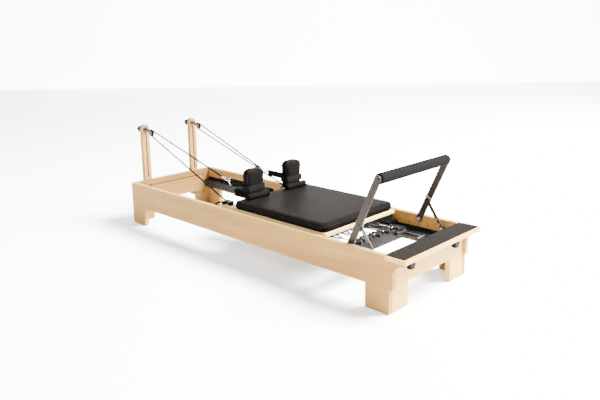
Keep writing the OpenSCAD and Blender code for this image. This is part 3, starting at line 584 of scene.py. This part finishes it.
def puff(obj, voxel, pressure, cap, floor_z=None, stiff=12.0):
    """Swells a closed shape into a stuffed one by a short cloth simulation, each point held to a cap."""
    remesh = obj.modifiers.new("remesh", "REMESH")
    remesh.mode = "VOXEL"
    remesh.voxel_size = voxel
    apply_all(obj)
    start = [v.co.copy() for v in obj.data.vertices]
    cloth = obj.modifiers.new("cloth", "CLOTH")
    cloth.settings.use_pressure = True
    cloth.settings.uniform_pressure_force = pressure
    cloth.settings.tension_stiffness = stiff
    cloth.settings.compression_stiffness = stiff
    cloth.settings.effector_weights.gravity = 0.0
    cloth.collision_settings.use_collision = False
    cloth.point_cache.frame_start = 1
    cloth.point_cache.frame_end = 20
    for step in range(1, 21):
        bpy.context.scene.frame_set(step)
    apply_all(obj)
    bpy.context.scene.frame_set(1)
    for v, co in zip(obj.data.vertices, start):
        move = v.co - co
        if move.length > cap:
            v.co = co + move * (cap / move.length)
    if floor_z is not None:
        for v in obj.data.vertices:
            v.co.z = max(v.co.z, floor_z)
    relax = obj.modifiers.new("relax", "SMOOTH")
    relax.factor = 0.5
    relax.iterations = 3
    return smooth(apply_all(obj), 180.0)


def finish_skin(obj, key):
    """One subdivision, smooth shading and the material."""
    sub = obj.modifiers.new("sub", "SUBSURF")
    sub.levels = 1
    sub.render_levels = 1
    apply_all(obj)
    smooth(obj, 180.0)
    return paint(obj, key)


def on_surface(obj, points, proud):
    """Moves each point to the nearest place on a piece, then out by a small amount."""
    depsgraph = bpy.context.evaluated_depsgraph_get()
    tree = BVHTree.FromObject(obj, depsgraph)
    placed = []
    for p in points:
        hit, normal, _, _ = tree.find_nearest(Vector(p))
        placed.append(hit + normal * proud)
    return placed


def rounded_outline(x0, x1, y0, y1, r, steps=8):
    """A rectangle with round corners, anticlockwise."""
    points = []
    corners = ((x1 - r, y1 - r, 0), (x0 + r, y1 - r, 90), (x0 + r, y0 + r, 180), (x1 - r, y0 + r, 270))
    for cx, cy, start in corners:
        for i in range(steps + 1):
            a = math.radians(start + 90 * i / steps)
            points.append((cx + r * math.cos(a), cy + r * math.sin(a)))
    return points


def dense(points, step, closed=True):
    """The same line with points no further apart than a step."""
    points = [Vector(p) for p in points]
    line = []
    pairs = zip(points, points[1:] + points[:1]) if closed else zip(points, points[1:])
    for a, b in pairs:
        line += between(a, b, max(1, round((b - a).length / step)))
    if not closed:
        line.append(points[-1])
    return line


def seam(name, body, skin, points, radius=0.0008, proud=0.0001, key="thread", closed=True):
    """A sewn welt that lies on a cushion's surface."""
    line = on_surface(skin, dense(points, THREAD_STEP, closed), proud)
    obj = sweep(name, line, ring_profile(radius, 8), key, closed=closed, lean=(0.31, 0.52, 0.79))
    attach(obj, body)
    return obj


def stitches(name, body, points, key="thread", length=0.0034, gap=0.0018, radius=0.00038):
    """A row of small raised stitches along a line of points."""
    path = [Vector(p) for p in points]
    verts, faces = [], []
    profile = ring_profile(radius, 6)
    carry = 0.0
    for a, b in zip(path, path[1:]):
        way = b - a
        run = way.length
        if run < 1e-9:
            continue
        way.normalize()
        side = way.cross(Vector((0.31, 0.52, 0.79))).normalized()
        up = side.cross(way)
        at = carry
        while at + length <= run:
            base = len(verts)
            for s, grow in ((0.0, 0.35), (0.2, 1.0), (0.8, 1.0), (1.0, 0.35)):
                centre = a + way * (at + s * length)
                verts += [centre + (x * side + y * up) * grow for x, y in profile]
            for ring in range(3):
                for j in range(6):
                    j2 = (j + 1) % 6
                    faces.append((base + ring * 6 + j, base + ring * 6 + j2,
                                  base + ring * 6 + 6 + j2, base + ring * 6 + 6 + j))
            faces.append(tuple(base + j for j in range(5, -1, -1)))
            faces.append(tuple(base + 18 + j for j in range(6)))
            at += length + gap
        carry = max(0.0, at - run)
    obj = new_mesh(name, verts, faces, key)
    recalc(obj)
    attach(smooth(obj, 60.0), body)
    return obj


# ---------------------------------------------------------------- carriage pad and headrest

def make_pad(name, node, body, corner, voxel, cap, seam_drop):
    """A stuffed cushion over a CAD pad, with a welt and a row of stitches below its top edge."""
    stitch_drop = 0.0042
    low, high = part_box(node)
    inset = cap * 0.55
    outline = rounded_outline(low.x + inset, high.x - inset, low.y + inset, high.y - inset, corner)
    base = slab(name, outline, low.z, high.z - inset, 0.010)
    puff(base, voxel, 3.0, cap, floor_z=low.z)
    finish_skin(base, "vinyl")
    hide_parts(node)
    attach(base, body)
    ring = rounded_outline(low.x, high.x, low.y, high.y, corner)
    drop = high.z - seam_drop
    seam(name + "_welt", body, base, [(x, y, drop) for x, y in ring])
    line = on_surface(base, dense([(x, y, drop - stitch_drop) for x, y in ring], THREAD_STEP), 0.0001)
    stitches(name + "_stitching", body, line + line[:1])
    return base


def make_pads():
    make_pad("carriage_cushion", "carriage_pad", "carriage", 0.042, 0.006, 0.005, 0.013)
    make_pad("headrest_cushion", "headrest_pad", "headrest", 0.024, 0.0045, 0.005, 0.012)


# ---------------------------------------------------------------- shoulder rests

def shoulder_outline(y, low_z, high_z, half, neck, neck_z, corner):
    """The upright's front outline in Y and Z: a waist, and a top with broad round corners."""
    right = [(half * 0.93, low_z), (half * 0.985, low_z + 0.018),
             (neck, neck_z - 0.018), (neck, neck_z + 0.016),
             (half * 0.985, neck_z + 0.042), (half, high_z - corner)]
    for i in range(1, 9):
        a = math.radians(90 * i / 8)
        right.append((half - corner + corner * math.cos(a), high_z - corner + corner * math.sin(a)))
    left = [(-a, b) for a, b in reversed(right)]
    return [(y + a, b) for a, b in right + left]


def make_shoulder(side):
    """A shoulder rest: a waisted upright cushion with two welts, and a bolster at its foot."""
    node = "shoulder_pad_" + side
    low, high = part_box(node)
    y = (low.y + high.y) / 2
    strap_low, strap_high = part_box("hand_strap_" + side)
    neck_z = (strap_low.z + strap_high.z) / 2
    cap = 0.004
    inset = cap * 0.6
    outline = shoulder_outline(y, low.z, high.z - inset, 0.0690 - inset, 0.0635 - inset, neck_z, 0.036)
    x0, x1 = low.x, low.x + REST_THICK
    upright = slab("shoulder_cushion_" + side, outline, x0 + inset, x1 - inset, 0.009, axis="x")
    puff(upright, 0.0042, 3.0, cap, floor_z=low.z)
    finish_skin(upright, "vinyl")
    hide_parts(node)
    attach(upright, "carriage")
    around = shoulder_outline(y, low.z + 0.006, high.z + 0.01, 0.0710, 0.0655, neck_z, 0.038)
    for end, x in (("head", x0 + 0.0035), ("foot", x1 - 0.0035)):
        ring = [(x, a, b) for a, b in around]
        seam("shoulder_welt_%s_%s" % (end, side), "carriage", upright, ring, radius=0.0009)
    centre = Vector((high.x - 0.019, y, low.z + 0.019))
    half = (high.y - low.y) / 2
    r = 0.0187
    profile = [(0.0, -half), (r * 0.45, -half), (r * 0.78, -half + 0.001), (r * 0.93, -half + 0.004),
               (r, -half + 0.010)]
    profile += [(r * (1.0 - 0.02 * math.cos(4 * math.pi * t)), -half + 0.010 + (2 * half - 0.020) * t)
                for t in (i / 24 for i in range(1, 24))]
    profile += [(r, half - 0.010), (r * 0.93, half - 0.004), (r * 0.78, half - 0.001),
                (r * 0.45, half), (0.0, half)]
    bolster = lathe("shoulder_bolster_" + side, centre, (0, 1, 0), profile, "vinyl", 40)
    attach(bolster, "carriage")
    for s in (-1, 1):
        place = centre + Vector((0, s * (half - 0.006), 0))
        rim = [place + Vector((r * math.cos(a), 0, r * math.sin(a)))
               for a in (2 * math.pi * i / 40 for i in range(40))]
        welt = sweep("bolster_welt_%s_%s" % ("a" if s < 0 else "b", side), rim, ring_profile(0.0009, 8),
                     "thread", closed=True, lean=(0, 1, 0))
        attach(welt, "carriage")


# ---------------------------------------------------------------- hand straps

def make_strap(side):
    """Webbing: a tab sewn round the ring's bar, and a loop round the shoulder rest's waist."""
    low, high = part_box("hand_strap_" + side)
    pad_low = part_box("shoulder_pad_" + side)[0]
    y = (low.y + high.y) / 2
    z = (low.z + high.z) / 2
    width = high.z - low.z
    bar_x = low.x + 0.0053
    fork_x = bar_x + 0.120
    half = 0.0645
    thick = 0.0024
    gap = thick / 2
    x0, x1 = pad_low.x - gap, pad_low.x + REST_THICK + gap
    bend, bend_in = 0.0072, 0.006
    loop = []
    for x, face, start, turn in ((x0 + bend_in, -1, 190, 80), (x1 - bend_in, -1, 270, 90),
                                 (x1 - bend_in, 1, 0, 90), (x0 + bend_in, 1, 90, 80)):
        loop += arc((x, y + face * (half - bend_in), z), bend, start, turn, 6, "xy")
    loop = dense([(fork_x - 0.012, y - 0.0012, z), (fork_x + 0.002, y - 0.0018, z)] + loop
                 + [(fork_x + 0.002, y + 0.0018, z), (fork_x - 0.012, y + 0.0012, z)],
                 THREAD_STEP, closed=False)
    band = sweep("hand_loop_" + side, loop, band_profile(thick, width), "webbing", lean=(0, 0, 1))
    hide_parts("hand_strap_" + side)
    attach(band, "carriage")
    tab = [(fork_x - 0.004, y - 0.0026, z), (bar_x + 0.006, y - 0.0026, z)]
    tab += arc((bar_x, y, z), 0.0037, 300, -240, 12, "xy")
    tab += [(bar_x + 0.006, y + 0.0026, z), (fork_x - 0.004, y + 0.0026, z)]
    sleeve = sweep("hand_tab_" + side, dense(tab, THREAD_STEP, closed=False),
                   band_profile(0.0022, width + 0.001), "webbing", lean=(0, 0, 1))
    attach(sleeve, "carriage")
    runs = []
    for face in (-1, 1):
        face_y = y + face * 0.0038
        for edge in (-1, 1):
            row_z = z + edge * (width / 2 - 0.004)
            runs.append([(bar_x + 0.010, face_y, row_z), (fork_x - 0.006, face_y, row_z)])
        for x in (bar_x + 0.012, fork_x - 0.008, fork_x - 0.040):
            runs.append([(x, face_y, z - width / 2 + 0.004), (x, face_y, z + width / 2 - 0.004)])
    for i, run in enumerate(runs):
        stitches("tab_stitches_%s_%d" % (side, i), "carriage", run, radius=0.0005)


# ---------------------------------------------------------------- ropes

ROPE_R = 0.0050
LAY_R = 0.01565              # the rope's turn round the cleat


def make_rope(side):
    """A braided rope in two runs that meet under the sheave, each bending from the frame to the carriage."""
    sign = SIDES[side]
    s_low, s_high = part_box("sheave_" + side)
    centre = (s_low + s_high) / 2
    wrap = (s_high.x - s_low.x) / 2 - 0.0026
    ring_low, ring_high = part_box("strap_rings")
    strap_low, strap_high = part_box("hand_strap_" + side)
    tie = Vector((ring_low.x + 0.002, (strap_low.y + strap_high.y) / 2, (ring_low.z + ring_high.z) / 2))
    aim = Vector((centre.x, centre.y, centre.z + wrap)) - tie
    way = aim.normalized()
    start = tie + way * 0.071
    clamp_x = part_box("rope_cleats")[0].x
    cleat_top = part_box("rope_cleats")[1].z
    lay_z = cleat_top - 0.011
    cleat = Vector((clamp_x + 0.055, sign * 0.262, lay_z))
    run_z = tie.z
    from_a = 90 - math.degrees(math.atan2(centre.z - run_z, tie.x - centre.x))
    to_a = 270 - math.degrees(math.atan2(centre.z - lay_z, clamp_x - centre.x))
    top = centre + Vector((wrap * math.cos(math.radians(from_a)), 0, wrap * math.sin(math.radians(from_a))))
    eye = tie + way * 0.062
    profile = ring_profile(ROPE_R, 12)
    mid = (from_a + to_a) / 2 + 20
    upper = between(start, top, 60)
    upper += arc(centre, wrap, from_a, mid - from_a, 12)
    run_up = sweep("rope_pull_" + side, upper, profile, "cord")
    loop_r = 0.0052
    across = way.cross(Vector((0, 0, 1))).normalized()
    lift = across.cross(way).normalized() * -1.0
    loop = []
    for i in range(17):
        a = math.radians(-150 + 300 * i / 16)
        loop.append(eye + way * (0.0105 - loop_r * 1.25 * math.cos(a)) + lift * (loop_r * math.sin(a)))
    bight = sweep("rope_eye_" + side, loop, ring_profile(0.0022, 8), "cord", lean=tuple(across))
    sleeve_from, sleeve_to = start + way * 0.001, start + way * 0.066
    sleeve_line = between(sleeve_from, sleeve_to, 14) + [sleeve_to]
    fat = ring_profile(0.0060, 14)
    sleeve = sweep("rope_sleeve_" + side, sleeve_line, fat, "rubber",
                   width_at=lambda i: 0.82 if i in (0, 14) else (0.96 if i in (1, 13) else 1.0))
    lower = arc(centre, wrap, mid, to_a - mid, 10)
    inner_y = cleat.y - sign * LAY_R
    outer_y = cleat.y + sign * LAY_R
    entry = [Vector((clamp_x - 0.034, inner_y - sign * 0.001, lay_z + 0.009)),
             Vector((clamp_x - 0.014, inner_y, lay_z + 0.002)), Vector((clamp_x - 0.003, inner_y, lay_z))]
    lower = lower[:-1] + between(lower[-1], entry[0], 70) + entry
    turn = []
    for i in range(15):
        a = math.radians(180 * i / 14 - 90)
        turn.append(Vector((cleat.x + LAY_R * math.cos(a), cleat.y + sign * LAY_R * math.sin(a), lay_z)))
    lower += turn
    tail = [(-0.003, 0.0, 0.0), (-0.018, 0.001, -0.002), (-0.030, 0.002, -0.0055),
            (-0.042, 0.003, -0.010), (-0.053, 0.004, -0.016), (-0.064, 0.005, -0.023),
            (-0.073, 0.0056, -0.030), (-0.080, 0.006, -0.038)]
    lower += [Vector((clamp_x + a, outer_y + sign * b, lay_z + c)) for a, b, c in tail]
    run_down = sweep("rope_return_" + side, lower, profile, "cord")
    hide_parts("rope_" + side)
    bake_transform(run_up)
    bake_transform(run_down)
    for obj in (bight, sleeve):
        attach(obj, "carriage")
    tip = lathe("rope_tip_" + side, lower[-1] + Vector((-0.0015, 0, -0.0022)), (-0.64, sign * 0.05, -0.77),
                [(0.0, -0.012), (0.0052, -0.0115), (0.0053, -0.001), (0.0042, 0.001), (0.0, 0.0012)],
                "rubber", 16)
    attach(tip, "carriage")


# ---------------------------------------------------------------- springs

def make_spring(i):
    """An open wound spring with a straight shank at one end, and a stem and a ring at the other."""
    node = "spring_%d" % i
    low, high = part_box(node)
    y, z = (low.y + high.y) / 2, (low.z + high.z) / 2
    coil_r, wire = 0.0122, 0.0014
    turns, per_turn = 88, 14
    ring_x = high.x - 0.012
    x0, x1 = low.x + 0.026, ring_x - 0.080
    coil = []
    total = turns * per_turn
    for k in range(total + 1):
        t = k / total
        a = 2 * math.pi * turns * t
        r = coil_r * min(1.0, 0.35 + 12 * t, 0.35 + 12 * (1 - t))
        coil.append(Vector((x0 + (x1 - x0) * t, y + r * math.cos(a), z + r * math.sin(a))))
    body = sweep("coil", coil, ring_profile(wire, 6), "spring_steel", lean=(1, 0, 0))
    shank_end, stem_end = Vector((x0 + 0.006, y, z)), Vector((ring_x - 0.0094, y, z))
    shank = sweep("shank", between((low.x + 0.002, y, z), shank_end, 6) + [shank_end],
                  ring_profile(0.0044, 12), "chrome")
    stem = sweep("stem", between((x1 - 0.004, y, z), stem_end, 8) + [stem_end],
                 ring_profile(0.0034, 12), "chrome")
    ring = sweep("ring", arc((ring_x, y, z), 0.0095, 0, 345, 30, "xy"), ring_profile(0.0024, 10), "chrome",
                 closed=True, lean=(0, 0, 1))
    obj = join("spring_coil_%d" % i, [body, shank, stem, ring])
    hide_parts(node)
    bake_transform(obj)


# ---------------------------------------------------------------- foot bar, knobs and small parts

def make_grip():
    """The foot bar's foam sleeve, with faint ripples along it."""
    bore = 0.0161
    low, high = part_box("footbar_grip")
    centre = (low + high) / 2
    half = (high.y - low.y) / 2
    r = (high.x - low.x) / 2
    profile = [(bore, -half), (r - 0.006, -half), (r - 0.002, -half + 0.0015), (r, -half + 0.006)]
    profile += [(r * (1.0 - 0.004 * math.sin(9 * math.pi * t) ** 2), -half + 0.006 + (2 * half - 0.012) * t)
                for t in (i / 60 for i in range(1, 60))]
    profile += [(r, half - 0.006), (r - 0.002, half - 0.0015), (r - 0.006, half),
                (bore, half), (bore, -half)]
    grip = lathe("grip_foam", centre, (0, 1, 0), profile, "foam", 56)
    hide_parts("footbar_grip")
    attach(grip, "footbar")


def make_washers():
    """A dished washer behind each star knob on the foot board."""
    for side in SIDES:
        low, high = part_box("foot_knob_" + side)
        y, z = (low.y + high.y) / 2, (low.z + high.z) / 2
        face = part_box("foot_board")[1].x
        washer = lathe("knob_washer_" + side, (face, y, z), (1, 0, 0),
                       [(0.0056, 0.0), (0.019, 0.0), (0.0198, 0.0006), (0.0196, 0.0015), (0.0185, 0.0018),
                        (0.0056, 0.0018), (0.0056, 0.0)], "zinc", 48)
        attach(washer, "frame")


def make_brackets():
    """Plated clips on the inner faces of the foot bar's arms, where the props hang."""
    lean = math.radians(25.0)
    along = Vector((math.sin(lean), 0, math.cos(lean)))
    over = Vector((math.cos(lean), 0, -math.sin(lean)))
    place = FOOTBAR_PIVOT + along * 0.143
    a_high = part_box("footbar_arms")[1]
    for side, sign in SIDES.items():
        y_in, y_out = sign * (a_high.y - 0.0112), sign * (a_high.y - 0.0084)
        ends = []
        for y in (y_in, y_out):
            for a, b in ((-0.009, -0.0235), (0.010, -0.0215), (0.008, 0.0235), (-0.011, 0.0215)):
                ends.append(place + along * a + over * b + Vector((0, y, 0)))
        faces = [(0, 1, 2, 3), (7, 6, 5, 4), (0, 4, 5, 1), (1, 5, 6, 2), (2, 6, 7, 3), (3, 7, 4, 0)]
        clip = new_mesh("prop_clip_" + side, [tuple(p) for p in ends], faces, "zinc")
        recalc(clip)
        edge = clip.modifiers.new("edge", "BEVEL")
        edge.width = 0.0008
        edge.segments = 2
        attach(clip, "footbar")


# Node, or the stem of a near and far pair: its material, and the width its edges are softened by.
LOOKS = {
    "side_rail": ("rail_wood", 0.003),
    # head board: its darker wood is painted shade.
    "head_board": ("head_wood_painted_shade", 0.0015),
    "foot_board": ("board_wood", 0.0015),
    "post": ("post_wood", 0.003),
    "post_bolts": ("dark_bolt", 0.0008),
    "platform": ("board_wood", 0.003),
    "platform_mat": ("mat", 0.001),
    "foot_pads": ("rubber", 0.001),
    "track": ("black_steel", 0.001),
    "spring_bar": ("black_steel", 0.001),
    "spring_bar_handle": ("dark_bolt", 0.0008),
    "gear_racks": ("black_steel", 0.0006),
    "pulley_eyebolts": ("bronze", None),
    "pulley_block": ("bronze", 0.0006),
    "sheave": ("knob", None),
    "footbar_arms": ("pewter", 0.0012),
    "footbar_tube": ("pewter", 0.0012),
    "footbar_pins": ("zinc", 0.0012),
    "prop_near": ("prop_steel", 0.0008),
    "prop_far": ("pewter", 0.0008),
    "post_knob": ("knob", 0.0018),
    "foot_knob": ("knob", 0.0018),
    "carriage_board": ("edge_wood", 0.002),
    "carriage_chassis": ("black_steel", 0.0008),
    "carriage_stops": ("rubber", 0.002),
    "wheel_head": ("wheel", 0.0015),
    "wheel_foot": ("wheel", 0.0015),
    "headrest_board": ("rubber", 0.0015),
    "shoulder_dowels": ("zinc", None),
    "rope_cleats": ("knob", 0.0015),
    "strap_rings": ("chrome", None),
    "snap_hook": ("chrome", None),
    "snap_gate": ("zinc", None),
}


def dress_cad():
    """Materials and softened edges for the CAD nodes that stay."""
    for stem, (key, width) in LOOKS.items():
        for name in [stem] if stem in nodes else [stem + "_" + side for side in SIDES]:
            paint(nodes[name], key)
            if width:
                soften(name, width)


def glow(name, tone, rough, spec, strength):
    """A plain bright material for the studio."""
    s = Shader(name, (tone, tone, tone), rough, spec=spec)
    s.bsdf.inputs["Emission Color"].default_value = (1.0, 1.0, 1.0, 1.0)
    s.bsdf.inputs["Emission Strength"].default_value = strength
    return s.mat


def make_floor():
    """A white floor, and a lit wall behind the machine."""
    floor = new_mesh("floor", [(-14, -14, 0), (14, -14, 0), (14, 14, 0), (-14, 14, 0)], [(0, 1, 2, 3)])
    floor.data.materials.append(glow("studio_floor", 0.95, 0.95, 0.05, 0.5))
    wall = new_mesh("backdrop", [(-13, 3, 0), (-2, 13, 0), (-2, 13, 9), (-13, 3, 9)], [(0, 1, 2, 3)])
    wall.data.materials.append(glow("studio_backdrop", 0.9, 0.9, 0.0, 6.0))


add_camera()
add_world(0.42)
add_light("key", (4.0, 4.4, 6.6), (0.0, 0.0, 0.2), (4.2, 4.2), 16000.0, (1.0, 0.985, 0.96))
add_light("front", (3.4, -3.2, 2.4), (0.0, 0.0, 0.3), (3.0, 2.0), 330.0)
add_light("left", (-3.4, -2.2, 2.6), (0.0, 0.0, 0.3), (2.4, 2.0), 90.0)
make_floor()
dress_cad()
make_pads()
for side_name in SIDES:
    make_shoulder(side_name)
    make_strap(side_name)
    make_rope(side_name)
for index in range(1, 6):
    make_spring(index)
make_grip()
make_brackets()
make_washers()
